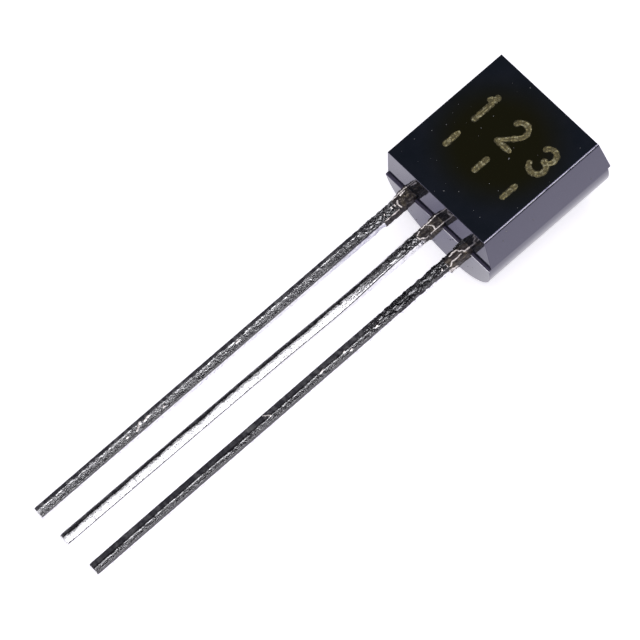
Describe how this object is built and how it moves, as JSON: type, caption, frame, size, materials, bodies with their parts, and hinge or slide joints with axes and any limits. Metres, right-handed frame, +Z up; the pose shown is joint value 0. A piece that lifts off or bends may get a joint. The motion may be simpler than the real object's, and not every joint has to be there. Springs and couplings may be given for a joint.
{
  "type": "to-92 transistor",
  "caption": "Through-hole transistor lying on its back: a D-section moulded body with a flat marked face, and straight square leads in a row from one end.",
  "frame": {"origin": "centre of the footprint, on the surface that the part lies on", "axes": "+Z up; the leads run towards -Y and slope down to the surface; +X runs from the collector lead towards the emitter lead, with the flat face on top"},
  "size_m": [0.0046, 0.0196, 0.0043],
  "materials": {
    "epoxy": "smooth moulded black epoxy",
    "plated_copper": "bright tin plating with a mottled surface",
    "silicon": "polished",
    "attach_layer": "matt",
    "bond_wire": "drawn gold"
  },
  "bodies": {
    "root": {"molded_body": "epoxy", "collector_lead": "plated_copper", "base_lead": "plated_copper", "emitter_lead": "plated_copper", "silicon_die": "silicon", "die_attach": "attach_layer", "base_bond_wire": "bond_wire", "emitter_bond_wire": "bond_wire"}
  },
  "joints": []
}
